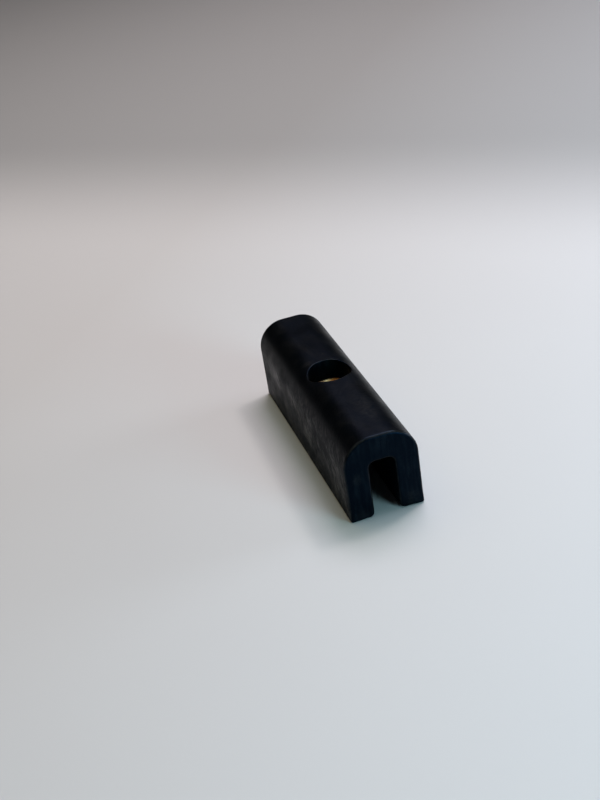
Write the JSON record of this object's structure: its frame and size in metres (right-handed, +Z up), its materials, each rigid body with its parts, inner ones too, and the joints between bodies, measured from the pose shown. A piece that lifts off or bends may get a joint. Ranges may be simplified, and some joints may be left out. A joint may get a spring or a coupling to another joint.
{
  "type": "rubber saddle vibration damper",
  "caption": "Slip-over rubber U-section saddle damper: its slot straddles a rail, and a brass screw in a moulded-in brass bush presses a swivel pad on the rail's edge.",
  "frame": {"origin": "middle of the footprint, on the surface that the two feet stand on", "axes": "+X across both legs, +Y along the slot, +Z up from the feet to the crown"},
  "size_m": [0.02, 0.076, 0.0234],
  "materials": {
    "black_rubber": "satin moulded rubber, dusty and scuffed on the flanks",
    "brass_bush": "turned, slightly tarnished",
    "brass_screw": "turned, bright",
    "brass_pad": "turned, dull"
  },
  "bodies": {
    "saddle": {"rubber_body": "black_rubber", "threaded_bush": "brass_bush"},
    "pad": {"pressure_pad": "brass_pad"},
    "screw": {"clamp_screw": "brass_screw"}
  },
  "joints": [
    {"name": "pad_travel", "type": "slide", "parent": "saddle", "child": "pad", "axis": [0, 0, -1], "range_m": [-0.00105, 0.00315]},
    {"name": "screw_turn", "type": "hinge", "parent": "pad", "child": "screw", "pos_m": [0, 0, 0.014], "axis": [0, 0, -1], "range_deg": [-540, 1620]}
  ],
  "couplings": [
    {"joint": "screw_turn", "follows": "pad_travel", "rad_per_m": 8976}
  ]
}
